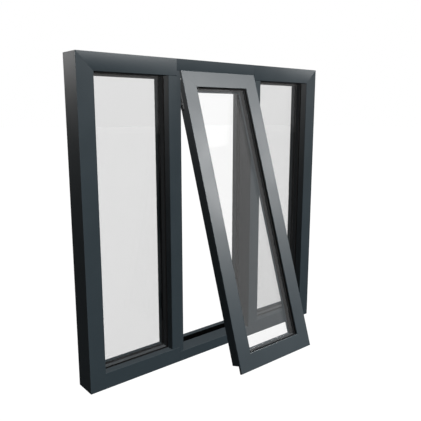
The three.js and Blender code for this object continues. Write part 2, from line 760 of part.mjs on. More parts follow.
// Toothed wheel on the cross shaft that reaches through the mullion's wall to the left arm.
function wormWheel() {
  const tipStart = TOOTH_ROOT_SHARE + TOOTH_FLANK_SHARE;
  const toothOutline = [
    [0, WHEEL_R - TOOTH],
    [TOOTH_ROOT_SHARE, WHEEL_R - TOOTH],
    [tipStart, WHEEL_R],
    [tipStart + TOOTH_TIP_SHARE, WHEEL_R],
  ];
  const shape = new THREE.Shape();
  for (let tooth = 0; tooth < WHEEL_TEETH; tooth++) {
    for (const [share, radius] of toothOutline) {
      const angle = ((tooth + share) * 2 * Math.PI) / WHEEL_TEETH;
      const corner = [radius * Math.cos(angle), radius * Math.sin(angle)];
      if (tooth === 0 && share === 0) shape.moveTo(...corner);
      else shape.lineTo(...corner);
    }
  }
  shape.closePath();
  const half = WHEEL_WIDTH / 2;
  const wheel = extrudeX(shape, WHEEL_X - half, WHEEL_X + half).translate(0, STAY_Y, ARM_PIVOT_Z);
  const shaftEnd = span('left', GAP, ARM_FACE)[1];
  return join(wheel, rodX(SHAFT_R, BOX_X0, shaftEnd, STAY_Y, ARM_PIVOT_Z));
}

// The thread is a rod whose section is off centre and turns once in each pitch.
function wormThread(y0, y1) {
  const length = y1 - y0;
  const steps = Math.round((length / WORM_PITCH) * THREAD_STEPS);
  const offset = WORM_THREAD / 2;
  const radius = WORM_R - offset;
  const thread = new THREE.CylinderGeometry(radius, radius, length, THREAD_FACETS, steps);
  const position = thread.attributes.position;
  for (let i = 0; i < position.count; i++) {
    const turn = (position.getY(i) * 2 * Math.PI) / WORM_PITCH;
    position.setX(i, position.getX(i) + offset * Math.cos(turn));
    position.setZ(i, position.getZ(i) + offset * Math.sin(turn));
  }
  return thread.translate(WHEEL_X, (y0 + y1) / 2, SPINDLE_Z);
}

const HUB_Y = COVER_FACE_Y + BOSS_LENGTH + GAP;
const ARM_Y1 = HUB_Y + CRANK_HUB;
const ARM_Y0 = ARM_Y1 - CRANK_ARM;
const KNOB_Y0 = ARM_Y1 + GAP;
const KNOB_Y1 = KNOB_Y0 + KNOB_LENGTH;

function wormShaft() {
  const half = WORM_LENGTH / 2;
  return join(
    rodY(SPINDLE_R, BOX_Y0 + GAP, ARM_Y1, WHEEL_X, SPINDLE_Z),
    wormThread(STAY_Y - half, STAY_Y + half),
  );
}

// Crank arm and knob are drawn about the spindle with the arm straight down.
function crankArm() {
  const shape = strip(0, -CRANK_RADIUS, CRANK_TIP_R, 0, 0, CRANK_HUB_R);
  const options = { depth: CRANK_ARM, bevelEnabled: false, curveSegments: PLATE_FACETS };
  const arm = new THREE.ExtrudeGeometry(shape, options);
  arm.rotateX(Math.PI / 2).translate(0, ARM_Y1, 0);
  return cut(
    join(arm, rodY(CRANK_HUB_R, HUB_Y, ARM_Y1, 0, 0)),
    rodY(SPINDLE_R + GAP, HUB_Y - GAP, ARM_Y1 + GAP, 0, 0),
    rodY(KNOB_PIN_R + GAP, HUB_Y, ARM_Y1 + GAP, 0, -CRANK_RADIUS),
  );
}

function knobPin() {
  return join(
    rodY(KNOB_PIN_R, ARM_Y0, KNOB_Y1 + GAP, 0, -CRANK_RADIUS),
    rodY(KNOB_PIN_HEAD_R, KNOB_Y1 + GAP, KNOB_Y1 + GAP + KNOB_PIN_HEAD, 0, -CRANK_RADIUS),
  );
}

function crankKnob() {
  const bore = KNOB_PIN_R + RUN;
  const profile = outline([
    [bore, KNOB_Y0],
    [KNOB_R - KNOB_ROUND, KNOB_Y0, KNOB_ROUND / 2],
    [KNOB_R, KNOB_Y0 + KNOB_LENGTH / 2, KNOB_LENGTH / 4],
    [KNOB_R - KNOB_ROUND / 2, KNOB_Y1, KNOB_ROUND],
    [bore, KNOB_Y1],
  ]);
  const points = profile.extractPoints(KNOB_EDGE_FACETS).shape;
  points.push(points[0]);
  return new THREE.LatheGeometry(points, KNOB_FACETS).translate(0, 0, -CRANK_RADIUS);
}

piece(frame, 'operator_housing', operatorHousing(), castMetal);
piece(frame, 'operator_cover', operatorCover(), castMetal);
piece(frame, 'cover_screw_bottom', coverScrew(SCREW_ZS[0]), steel);
piece(frame, 'cover_screw_top', coverScrew(SCREW_ZS[1]), steel);
piece(frame, 'worm_wheel', wormWheel(), steel);
piece(frame, 'worm_shaft', wormShaft(), steel);

const crank = new THREE.Group();
crank.position.set(WHEEL_X, 0, SPINDLE_Z);
crank.rotation.y = -CRANK_LEAN;
frame.add(crank);
piece(crank, 'crank_arm', crankArm(), castMetal);
piece(crank, 'knob_pin', knobPin(), steel);
piece(crank, 'crank_knob', crankKnob(), knobPlastic);

export default product;
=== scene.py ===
"""Finishes a three-light aluminium window whose middle sash is swung open by a crank."""

import json
import math

import bmesh
import bpy
from bpy.props import FloatProperty, FloatVectorProperty, IntProperty, PointerProperty
from bpy.types import Operator, Panel, PropertyGroup
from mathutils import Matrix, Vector


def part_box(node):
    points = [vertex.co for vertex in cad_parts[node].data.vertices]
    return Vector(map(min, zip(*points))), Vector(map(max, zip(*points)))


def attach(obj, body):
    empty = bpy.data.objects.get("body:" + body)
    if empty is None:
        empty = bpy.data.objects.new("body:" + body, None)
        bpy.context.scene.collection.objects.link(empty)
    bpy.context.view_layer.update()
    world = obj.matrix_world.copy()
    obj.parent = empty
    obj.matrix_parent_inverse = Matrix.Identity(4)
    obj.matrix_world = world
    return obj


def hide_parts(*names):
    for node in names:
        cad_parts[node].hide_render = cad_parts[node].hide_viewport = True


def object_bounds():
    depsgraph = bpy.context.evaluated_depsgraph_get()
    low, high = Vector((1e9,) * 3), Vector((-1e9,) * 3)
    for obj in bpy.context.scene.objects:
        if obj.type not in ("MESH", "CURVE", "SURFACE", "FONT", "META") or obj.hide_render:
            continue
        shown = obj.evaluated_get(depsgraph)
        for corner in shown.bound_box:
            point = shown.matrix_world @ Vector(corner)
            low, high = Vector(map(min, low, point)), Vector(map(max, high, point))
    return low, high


bl_info = {
    "name": "Crank Window",
    "version": (1, 0, 0),
    "blender": (4, 5, 0),
    "location": "View3D > Sidebar > Crank Window",
    "description": "Finishes, hardware details and studio for a window with a crank-opened sash",
    "category": "Add Mesh",
}

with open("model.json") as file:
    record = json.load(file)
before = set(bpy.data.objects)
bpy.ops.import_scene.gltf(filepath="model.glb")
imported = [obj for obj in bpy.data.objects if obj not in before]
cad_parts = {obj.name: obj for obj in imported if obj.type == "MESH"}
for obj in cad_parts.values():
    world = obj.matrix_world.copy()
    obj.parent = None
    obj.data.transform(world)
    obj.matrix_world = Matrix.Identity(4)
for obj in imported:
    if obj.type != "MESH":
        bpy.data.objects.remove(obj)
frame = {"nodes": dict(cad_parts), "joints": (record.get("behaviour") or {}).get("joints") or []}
CAD_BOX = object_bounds()
MM = 0.001
LAMP_DISTANCE = 4
SMOOTH_ANGLE = math.radians(35)
# Cosine of the most that a face at a bar's end leans away from the bar's length.
END_FACING = 0.5
WHITE = (1, 1, 1, 1)
JOINTS = {joint["name"]: joint for joint in frame["joints"]}


# ---- colours and nodes ----


def linear(hex_colour):
    """An sRGB hex colour as linear red, green and blue."""
    channels = [int(hex_colour[i : i + 2], 16) / 255 for i in (1, 3, 5)]
    return tuple(c / 12.92 if c <= 0.04045 else ((c + 0.055) / 1.055) ** 2.4 for c in channels)


def shaded(colour, factor=1.0):
    """A colour made lighter or darker, with the alpha that node sockets take."""
    return (*[min(1.0, channel * factor) for channel in colour[:3]], 1.0)


def add(tree, kind, inputs=(), **settings):
    """Adds a node, makes its settings, and fills its open inputs in order, or some by name.

    An input takes a value, a socket, a node, whose first open output is meant, or a list of them.
    """
    made = tree.nodes.new(kind)
    for key, value in settings.items():
        setattr(made, key, value)
    if isinstance(inputs, dict):
        filled = [(made.inputs[key], value) for key, value in inputs.items()]
    else:
        filled = zip([socket for socket in made.inputs if socket.enabled], inputs)
    for socket, value in filled:
        for each in value if isinstance(value, list) else [value]:
            if isinstance(each, bpy.types.Node):
                each = next(output for output in each.outputs if output.enabled)
            if isinstance(each, bpy.types.NodeSocket):
                tree.links.new(each, socket)
            else:
                socket.default_value = each
    return made


def new_material(name):
    """An empty node material, its tree, and where and which way the surface is on its piece."""
    material = bpy.data.materials.new(name)
    material.use_nodes = True
    tree = material.node_tree
    tree.nodes.clear()
    surface = add(tree, "ShaderNodeTexCoord").outputs
    return material, tree, surface["Object"], surface["Normal"]


# ---- sizes and colours that a user would change ----


def colour_property(name, description, hex_colour):
    return FloatVectorProperty(
        name=name,
        description=description,
        default=linear(hex_colour),
        size=3,
        subtype="COLOR",
        min=0,
        max=1,
    )


def length_property(name, description, default):
    return FloatProperty(
        name=name, description=description, default=default, min=0, unit="LENGTH", precision=5
    )


def factor_property(name, description, default):
    return FloatProperty(
        name=name, description=description, default=default, min=0, max=1, subtype="FACTOR"
    )


def angle_property(name, description, degrees):
    return FloatProperty(
        name=name,
        description=description,
        default=math.radians(degrees),
        subtype="ANGLE",
        unit="ROTATION",
    )


def crown_property(name, degrees):
    return FloatVectorProperty(
        name=name,
        description="How its face leans at the left and right end, and how it bows there",
        default=[math.radians(angle) for angle in degrees],
        size=4,
        unit="ROTATION",
    )


def lamp_property(name, description, default):
    return FloatProperty(name=name, description=description, default=default, min=0, precision=3)


class WINDOW_PG_coat(PropertyGroup):
    """The powder coat on the aluminium profiles."""

    colour: colour_property("Colour", "Colour of the coated aluminium profiles", "#2D363B")
    roughness: factor_property("Roughness", "How satin the coat is", 0.36)
    grimy: factor_property("Grimy roughness", "How matt grime makes the ledges", 0.8)
    gloss: factor_property("Gloss", "How strongly the coat mirrors", 0.26)
    sealant: colour_property("Mitre sealant", "Colour of the sealant in the mitres", "#14181A")
    mitre_gap: length_property("Mitre gap", "Width of the joint that the sealant fills", 0.3 * MM)
    peel: length_property("Orange peel", "Width of the waves in the baked skin", 2.5 * MM)
    crown_left: crown_property("Left head", (-0.6, 1.2, 9, 2.6))
    crown_centre: crown_property("Centre head", (-5.0, -3.0, 4.0, 2.8))
    crown_right: crown_property("Right head", (-3.6, 6.5, 2, 5.5))


class WINDOW_PG_glazing(PropertyGroup):
    """Glass, spacers and rubber."""

    fixed_tint: colour_property("Fixed glass", "Tint of a pane of a fixed light", "#F3F3F3")
    sash_tint: colour_property("Sash glass", "Tint of a pane of the sash", "#FDFDFD")
    rubber: colour_property("Rubber", "Colour of the gaskets and the seal", "#0A0A0B")
    # The seal is blacker than the gaskets' rubber, partly as painted shade in its recess.
    seal: colour_property("Seal", "Colour of the foamed centre seal", "#040404")
    spacer: colour_property("Spacer", "Colour of the bars between the panes", "#393C3E")
    butyl: colour_property("Butyl", "Colour of the sealant that bonds them", "#060607")


class WINDOW_PG_hardware(PropertyGroup):
    """Stays, screws and crank."""

    black_steel: colour_property("Stay steel", "Colour of the blackened stays", "#1D1F20")
    shoe_steel: colour_property("Shoe steel", "Colour of the phosphated shoes", "#2E3031")
    bright_steel: colour_property("Bright steel", "Colour of pins and screws", "#8C8F91")
    casting: colour_property("Casting", "Paint on the crank and its cover", "#33383B")
    nylon: colour_property("Knob", "Colour of the knob", "#1D1F20")
    stay_screw: length_property("Stay screw", "Radius of the stays' screw heads", 2.8 * MM)
    stay_screw_rise: length_property("Stay screw rise", "How proud those heads stand", 0.6 * MM)
    cover_screw: length_property("Cover screw", "Radius of the cover's screw heads", 3.6 * MM)
    cover_screw_rise: length_property("Cover screw rise", "How proud they stand", 2.2 * MM)
    recess: length_property("Recess", "Width of the cross recess's arms", 0.9 * MM)
    track_screws: IntProperty(
        name="Track screws", description="Screws in each stay track", default=2, min=1, max=4
    )
    plate_screws: IntProperty(
        name="Plate screws", description="Screws in each sash plate", default=2, min=1, max=3
    )
    edge: length_property("Casting edges", "Rounding of the cast edges", 1.6 * MM)
    cover_corner: length_property("Cover corners", "Radius of the cover's corners", 6 * MM)
    boss_radius: length_property("Cover boss", "Radius of the spindle's boss", 9 * MM)
    hub_screw: length_property("Hub screw", "Radius of the screw that holds the crank", 4.6 * MM)
    hub_recess: length_property("Hub recess", "Width of that screw's recess's arms", 1.17 * MM)
    crank_thickness: length_property("Crank thickness", "Thickness of the crank's arm", 7 * MM)
    ribs: IntProperty(
        name="Knob ribs", description="Grip ribs round the knob", default=18, min=6, max=40
    )
    rib_height: length_property("Rib height", "How far the ribs stand out", 0.45 * MM)


class WINDOW_PG_stage(PropertyGroup):
    """Camera, floor and lamps."""

    camera_place: FloatVectorProperty(
        name="Camera place",
        description="Where the camera stands",
        default=(-1.1198, -1.3486, 0.8306),
        size=3,
        subtype="XYZ",
        unit="LENGTH",
    )
    camera_heading: angle_property("Heading", "Turn from straight ahead to the right", 39.708)
    camera_dip: angle_property("Dip", "How far the camera looks down", 10.68)
    camera_view: angle_property("Field of view", "Angle that the picture takes in", 45)
    floor_size: length_property("Floor size", "Side of the square floor", 60)
    floor_seen: factor_property("Floor", "How pale the floor is to the camera", 0.15)
    floor_unseen: factor_property("Unseen floor", "How pale it is to bounced light", 0.03)
    glow_near: factor_property("Near glow", "The floor's own light near the window", 0.85)
    glow_far: factor_property("Far glow", "The same where the softbox doesn't reach", 0.868)
    floor_mirrored: factor_property("Mirrored floor", "How bright glass shows the floor", 0.12)
    sky: factor_property("Sky", "Soft light from the sky in front", 0.02)
    mirrored: factor_property("Mirrored sky", "How bright glass and gloss show the sky", 0.64)
    overhead: lamp_property("Overhead", "How much brighter the sky is high up", 1.25)
    softbox: lamp_property("Softbox", "Power of the wide lamp above in front, in watts", 25)
    fill: lamp_property("Fill", "Strength of the even light from the front", 2.0)
    back_fill: lamp_property("Back fill", "Strength of the even light on the room side", 1.3)
    sheen_high: lamp_property("High sheen", "Strength of the sheen's upper lamp", 0.8)
    sheen_low: lamp_property("Low sheen", "Strength of the sheen's lower lamp", 1.95)
    rim: lamp_property("Rim", "Strength of the sheen on the frame's left side", 0.17)
    rim_inner: lamp_property("Inner rim", "The same for the sash and the lights", 0.33)


# ---- materials ----


def crown_normal(tree, place, node, crown):
    """The normal of a face that leans and bows a little along its length, as extrusions do."""
    low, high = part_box(node)
    jamb_low, jamb_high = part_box("jamb_left")
    face = jamb_high.x - jamb_low.x
    lean_left, lean_right, bow_left, bow_right = crown
    split = add(tree, "ShaderNodeSeparateXYZ", (place,)).outputs
    away = add(tree, "ShaderNodeMath", (split["Z"], high.z - face / 2), operation="SUBTRACT")
    ends = (split["X"], low.x, high.x)
    lean = add(tree, "ShaderNodeMapRange", (*ends, lean_left, lean_right))
    bow = add(tree, "ShaderNodeMapRange", (*ends, bow_left / face, bow_right / face))
    bowed = add(tree, "ShaderNodeMath", (bow, away), operation="MULTIPLY")
    slope = add(tree, "ShaderNodeMath", (lean, bowed), operation="ADD")
    below = add(tree, "ShaderNodeMath", (away, -1), operation="MULTIPLY")
    fall = add(tree, "ShaderNodeMath", (slope, below), operation="MULTIPLY")
    return add(tree, "ShaderNodeBump", {"Height": fall, "Strength": 1.0, "Distance": 1.0})


def powder_coat(name, coat, crowned_node=None, crown=None):
    """Satin polyester powder coat, sprayed and baked: even, with a fine orange-peel skin."""
    material, tree, place, facing = new_material(name)
    # Film thickness drifts slowly along a profile, which shifts its gloss and depth a little.
    drift_size = 90 * MM
    inputs = {"Vector": place, "Scale": 1 / drift_size, "Detail": 2}
    drift = add(tree, "ShaderNodeTexNoise", inputs)
    # The baked powder's skin lies in low, round waves that blur a reflection's edge.
    inputs = {"Vector": place, "Scale": 1 / coat.peel, "Detail": 3}
    peel = add(tree, "ShaderNodeTexNoise", inputs)
    # Pigment and matting agent leave a barely visible speckle.
    speckle_size = 0.9 * MM
    inputs = {"Vector": place, "Scale": 1 / speckle_size, "Detail": 1}
    speckle = add(tree, "ShaderNodeTexNoise", inputs)
    weaker = add(tree, "ShaderNodeMath", (drift, 0.7), operation="MULTIPLY")
    tone = add(tree, "ShaderNodeMath", (weaker, speckle), operation="ADD")
    # The sum of the two lies between 0.5 and 1.2 nearly everywhere.
    tone = add(tree, "ShaderNodeMapRange", (tone, 0.5, 1.2, 0, 1))
    tones = (tone, shaded(coat.colour, 0.93), shaded(coat.colour, 1.07))
    shade = add(tree, "ShaderNodeMix", tones, data_type="RGBA")
    glossy, matt = coat.roughness - 0.02, coat.roughness + 0.02
    satin = add(tree, "ShaderNodeMapRange", (drift, 0.3, 0.7, glossy, matt))
    # Grime on the faces that look up dulls their gloss, and their colour is also darkened a little
    # there as painted shade.
    upward = add(tree, "ShaderNodeSeparateXYZ", (facing,)).outputs["Z"]
    grime_and_shade = add(tree, "ShaderNodeMapRange", (upward, 0.7, 0.95, 0, 1))
    dulled = add(tree, "ShaderNodeMix", (grime_and_shade, satin, coat.grimy))
    # Painted shade: the faces that look up take a darker copy of the coat's colour.
    tones = (grime_and_shade, shade, shaded(coat.colour, 0.7))
    shade = add(tree, "ShaderNodeMix", tones, data_type="RGBA")
    inputs = {"Height": peel, "Strength": 0.12, "Distance": 0.1 * MM}
    if crowned_node:
        inputs["Normal"] = crown_normal(tree, place, crowned_node, crown)
    inputs = {
        "Base Color": shade,
        "Roughness": dulled,
        "IOR": 1.5,
        "Specular IOR Level": coat.gloss,
        "Normal": add(tree, "ShaderNodeBump", inputs),
    }
    coated = add(tree, "ShaderNodeBsdfPrincipled", inputs)
    add(tree, "ShaderNodeOutputMaterial", {"Surface": coated})
    return material


def float_glass(name, tint):
    """Clear float glass: flat and polished, with hardly any colour at this thickness."""
    material, tree, _, _ = new_material(name)
    inputs = {
        "Base Color": shaded(tint),
        "Roughness": 0.0,
        "IOR": 1.5,
        "Transmission Weight": 1.0,
    }
    surface = add(tree, "ShaderNodeBsdfPrincipled", inputs)
    # Light that has bounced passes a pane unbent, so that what stands behind it isn't in the dark.
    through = add(tree, "ShaderNodeBsdfTransparent", {"Color": shaded(tint)})
    path = add(tree, "ShaderNodeLightPath").outputs
    for ray in ("Is Reflection Ray", "Is Shadow Ray"):
        surface = add(tree, "ShaderNodeMixShader", (path[ray], surface, through))
    add(tree, "ShaderNodeOutputMaterial", {"Surface": surface})
    return material


def spacer_bar(name, colour, butyl):
    """Warm-edge spacer, extruded plastic with a satin foil: faint draw lines along each bar."""
    material, tree, place, facing = new_material(name)
    # The lines run along all four bars, so they change only with depth.
    line_pitch = 1.5 * MM
    depth = add(tree, "ShaderNodeSeparateXYZ", (place,)).outputs["Y"]
    turns = add(tree, "ShaderNodeMath", (depth, 2 * math.pi / line_pitch), operation="MULTIPLY")
    lines = add(tree, "ShaderNodeMath", (turns,), operation="SINE")
    cloud_size = 30 * MM
    inputs = {"Vector": place, "Scale": 1 / cloud_size, "Detail": 2}
    cloud = add(tree, "ShaderNodeTexNoise", inputs)
    faint = add(tree, "ShaderNodeMath", (lines, 0.25), operation="MULTIPLY")
    tone = add(tree, "ShaderNodeMath", (faint, cloud), operation="ADD")
    tones = (tone, shaded(colour, 0.88), shaded(colour, 1.12))
    foil = add(tree, "ShaderNodeMix", tones, data_type="RGBA")
    # Black butyl bonds the sides that face the panes.
    sideways = add(tree, "ShaderNodeSeparateXYZ", (facing,)).outputs["Y"]
    sideways = add(tree, "ShaderNodeMath", (sideways,), operation="ABSOLUTE")
    bonded = add(tree, "ShaderNodeMapRange", (sideways, 0.8, 0.9, 0, 1))
    ridges = {"Height": lines, "Strength": 0.3, "Distance": 0.1 * MM}
    inputs = {
        "Base Color": add(tree, "ShaderNodeMix", (bonded, foil, shaded(butyl)), data_type="RGBA"),
        "Roughness": 0.65,
        "IOR": 1.5,
        "Specular IOR Level": 0.15,
        "Normal": add(tree, "ShaderNodeBump", ridges),
    }
    bar = add(tree, "ShaderNodeBsdfPrincipled", inputs)
    add(tree, "ShaderNodeOutputMaterial", {"Surface": bar})
    return material


def mottled(name, colour, cloud, shades, roughness, grain, bump, uniform):
    """A finish with a cloud in its colour and gloss, and a finer grain that stands up a little.

    cloud and grain are a size and a detail. shades and roughness run from low to high with the
    cloud. bump is the grain's strength and height, and uniform what the whole surface shares.
    """
    material, tree, place, _ = new_material(name)
    cloudy, grainy = (
        add(tree, "ShaderNodeTexNoise", {"Vector": place, "Scale": 1 / size, "Detail": detail})
        for size, detail in (cloud, grain)
    )
    tones = (cloudy, *[shaded(colour, factor) for factor in shades])
    strength, height = bump
    skin = {"Height": grainy, "Strength": strength, "Distance": height}
    inputs = {
        "Base Color": add(tree, "ShaderNodeMix", tones, data_type="RGBA"),
        "Roughness": add(tree, "ShaderNodeMapRange", (cloudy, 0, 1, *roughness)),
        "Normal": add(tree, "ShaderNodeBump", skin),
        **uniform,
    }
    finish = add(tree, "ShaderNodeBsdfPrincipled", inputs)
    add(tree, "ShaderNodeOutputMaterial", {"Surface": finish})
    return material


def epdm_rubber(name, colour, gloss):
    """Extruded EPDM rubber: matt black with a faint bloom; the foamed seal is blacker, partly as
    painted shade.
    """
    return mottled(
        name,
        colour,
        cloud=(14 * MM, 4),
        shades=(0.7, 1.5),
        roughness=(0.65, 0.8),
        grain=(2 * MM, 2),
        bump=(0.1, 0.1 * MM),
        uniform={"IOR": 1.5, "Specular IOR Level": gloss},
    )


def mitre_sealant(name, colour):
    """Polyurethane joint sealant, pressed into the mitre and wiped off: a dull hairline."""
    return mottled(
        name,
        colour,
        cloud=(6 * MM, 2),
        shades=(0.8, 1.2),
        roughness=(0.6, 0.75),
        grain=(6 * MM, 2),
        bump=(0.1, 0.05 * MM),
        uniform={"IOR": 1.5},
    )


def worked_steel(name, colour, roughness, metallic, cloud_size):
    """Steel with the fine grain that rolling or turning leaves, under a thin finish."""
    return mottled(
        name,
        colour,
        cloud=(cloud_size, 4),
        shades=(0.82, 1.18),
        roughness=(roughness - 0.07, roughness + 0.07),
        grain=(cloud_size / 6, 1),
        bump=(0.15, 0.05 * MM),
        uniform={"Metallic": metallic},
    )


def painted_casting(name, colour):
    """Zinc die-casting under stoved enamel: a soft skin that shows the mould's fine grain."""
    return mottled(
        name,
        colour,
        cloud=(25 * MM, 2),
        shades=(0.93, 1.07),
        roughness=(0.4, 0.48),
        grain=(1.6 * MM, 3),
        bump=(0.25, 0.1 * MM),
        uniform={"IOR": 1.5},
    )


def moulded_nylon(name, colour):
    """Injection-moulded nylon: the mould's spark-eroded grain, which hands polish unevenly."""
    return mottled(
        name,
        colour,
        cloud=(9 * MM, 2),
        shades=(0.85, 1.15),
        roughness=(0.42, 0.6),
        grain=(0.7 * MM, 2),
        bump=(0.3, 0.1 * MM),
        uniform={"IOR": 1.53},
    )


def give(material, *names):
    """Puts one material on CAD nodes."""
    for name in names:
        mesh = frame["nodes"][name].data
        mesh.materials.clear()
        mesh.materials.append(material)


def nodes_with(*words):
    """The CAD nodes whose names hold one of the words."""
    return [name for name in frame["nodes"] if any(word in name for word in words)]


# ---- shapes ----


def down_the_sash():
    """The direction from the sash's head to its foot, where it stands open."""
    swing = math.radians(-JOINTS["sash_hinge"]["range_deg"][0])
    return Vector((0, -math.sin(swing), -math.cos(swing)))


def settle(name, mesh, body):
    """Shades a finished mesh smoothly and puts it on its body as a piece."""
    mesh.name = name
    mesh.shade_smooth()
    mesh.set_sharp_from_angle(angle=SMOOTH_ANGLE)
    piece = new_piece(name, mesh)
    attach(piece, body)
    return piece


def new_piece(name, mesh):
    piece = bpy.data.objects.new(name, mesh)
    bpy.context.scene.collection.objects.link(piece)
    return piece


def new_geometry_tree(name, sizes):
    """An empty geometry tree with named inputs, and those inputs' sockets."""
    tree = bpy.data.node_groups.new(name, "GeometryNodeTree")
    for label, kind in sizes.items():
        tree.interface.new_socket(label, in_out="INPUT", socket_type=f"NodeSocket{kind}")
    tree.interface.new_socket("Geometry", in_out="OUTPUT", socket_type="NodeSocketGeometry")
    return tree, add(tree, "NodeGroupInput").outputs


def end_geometry_tree(tree, geometry, material):
    """Makes instances real, sets their material and closes the tree."""
    real = add(tree, "GeometryNodeRealizeInstances", (geometry,))
    coated = add(tree, "GeometryNodeSetMaterial", {"Geometry": real, "Material": material})
    add(tree, "NodeGroupOutput", {"Geometry": coated})


def grow(name, tree, values):
    """Runs a geometry tree with these values and keeps the result as a plain mesh."""
    holder = new_piece(name, bpy.data.meshes.new(name))
    modifier = holder.modifiers.new(tree.name, "NODES")
    modifier.node_group = tree
    for item in tree.interface.items_tree:
        if item.in_out == "INPUT":
            modifier[item.identifier] = values[item.name]
    evaluated = holder.evaluated_get(bpy.context.evaluated_depsgraph_get())
    mesh = bpy.data.meshes.new_from_object(evaluated)
    holder.modifiers.remove(modifier)
    bpy.data.objects.remove(holder)
    if not mesh.polygons:
        raise RuntimeError(f"{name} has no faces")
    return mesh


def screw_row_tree():
    """A row of domed heads with cross recesses, each stopped at its own angle by the driver."""
    sizes = {
        "Count": "Int",
        "First": "Vector",
        "Step": "Vector",
        "Axis": "Vector",
        "Radius": "Float",
        "Rise": "Float",
        "Recess": "Float",
        "Sunk": "Float",
        "Material": "Material",
    }
    tree, given = new_geometry_tree("screw_row", sizes)
    radius, rise, recess = given["Radius"], given["Rise"], given["Recess"]
    ball = add(tree, "GeometryNodeMeshUVSphere", {"Segments": 32, "Rings": 16, "Radius": 1.0})
    stretch = add(tree, "ShaderNodeCombineXYZ", (radius, radius, rise))
    dome = add(tree, "GeometryNodeTransform", {"Geometry": ball, "Scale": stretch})
    # A block four rises high cuts away all that is deeper than the sunk part of the head.
    wide = add(tree, "ShaderNodeMath", (radius, 3), operation="MULTIPLY")
    thick = add(tree, "ShaderNodeMath", (rise, 4), operation="MULTIPLY")
    size = add(tree, "ShaderNodeCombineXYZ", (wide, wide, thick))
    block = add(tree, "GeometryNodeMeshCube", {"Size": size})
    half = add(tree, "ShaderNodeMath", (rise, 2), operation="MULTIPLY")
    depth = add(tree, "ShaderNodeMath", (half, given["Sunk"]), operation="ADD")
    down = add(tree, "ShaderNodeMath", (depth, -1), operation="MULTIPLY")
    drop = add(tree, "ShaderNodeCombineXYZ", (0, 0, down))
    cutters = [add(tree, "GeometryNodeTransform", {"Geometry": block, "Translation": drop})]
    # Two crossed slots reach a little more than halfway out.
    reach = add(tree, "ShaderNodeMath", (radius, 1.05), operation="MULTIPLY")
    deep = add(tree, "ShaderNodeMath", (rise, 1.3), operation="MULTIPLY")
    lift = add(tree, "ShaderNodeCombineXYZ", (0, 0, rise))
    for along, across in ((reach, recess), (recess, reach)):
        size = add(tree, "ShaderNodeCombineXYZ", (along, across, deep))
        slot = add(tree, "GeometryNodeMeshCube", {"Size": size})
        inputs = {"Geometry": slot, "Translation": lift}
        cutters.append(add(tree, "GeometryNodeTransform", inputs))
    head = add(tree, "GeometryNodeMeshBoolean", {0: dome, 1: cutters}, operation="DIFFERENCE")
    inputs = {"Count": given["Count"], "Start Location": given["First"], "Offset": given["Step"]}
    row = add(tree, "GeometryNodeMeshLine", inputs, mode="OFFSET")
    inputs = {"Vector": given["Axis"]}
    outward = add(tree, "FunctionNodeAlignRotationToVector", inputs, axis="Z")
    inputs = {2: 0.0, 3: math.pi / 2, "Seed": 7}
    stopped = add(tree, "FunctionNodeRandomValue", inputs, data_type="FLOAT")
    inputs = {"Axis": (0, 0, 1), "Angle": stopped}
    spin = add(tree, "FunctionNodeAxisAngleToRotation", inputs)
    inputs = {"Rotation": outward, "Rotate By": spin}
    turn = add(tree, "FunctionNodeRotateRotation", inputs, rotation_space="LOCAL")
    inputs = {"Points": row, "Instance": head, "Rotation": turn}
    heads = add(tree, "GeometryNodeInstanceOnPoints", inputs)
    end_geometry_tree(tree, heads, given["Material"])
    return tree


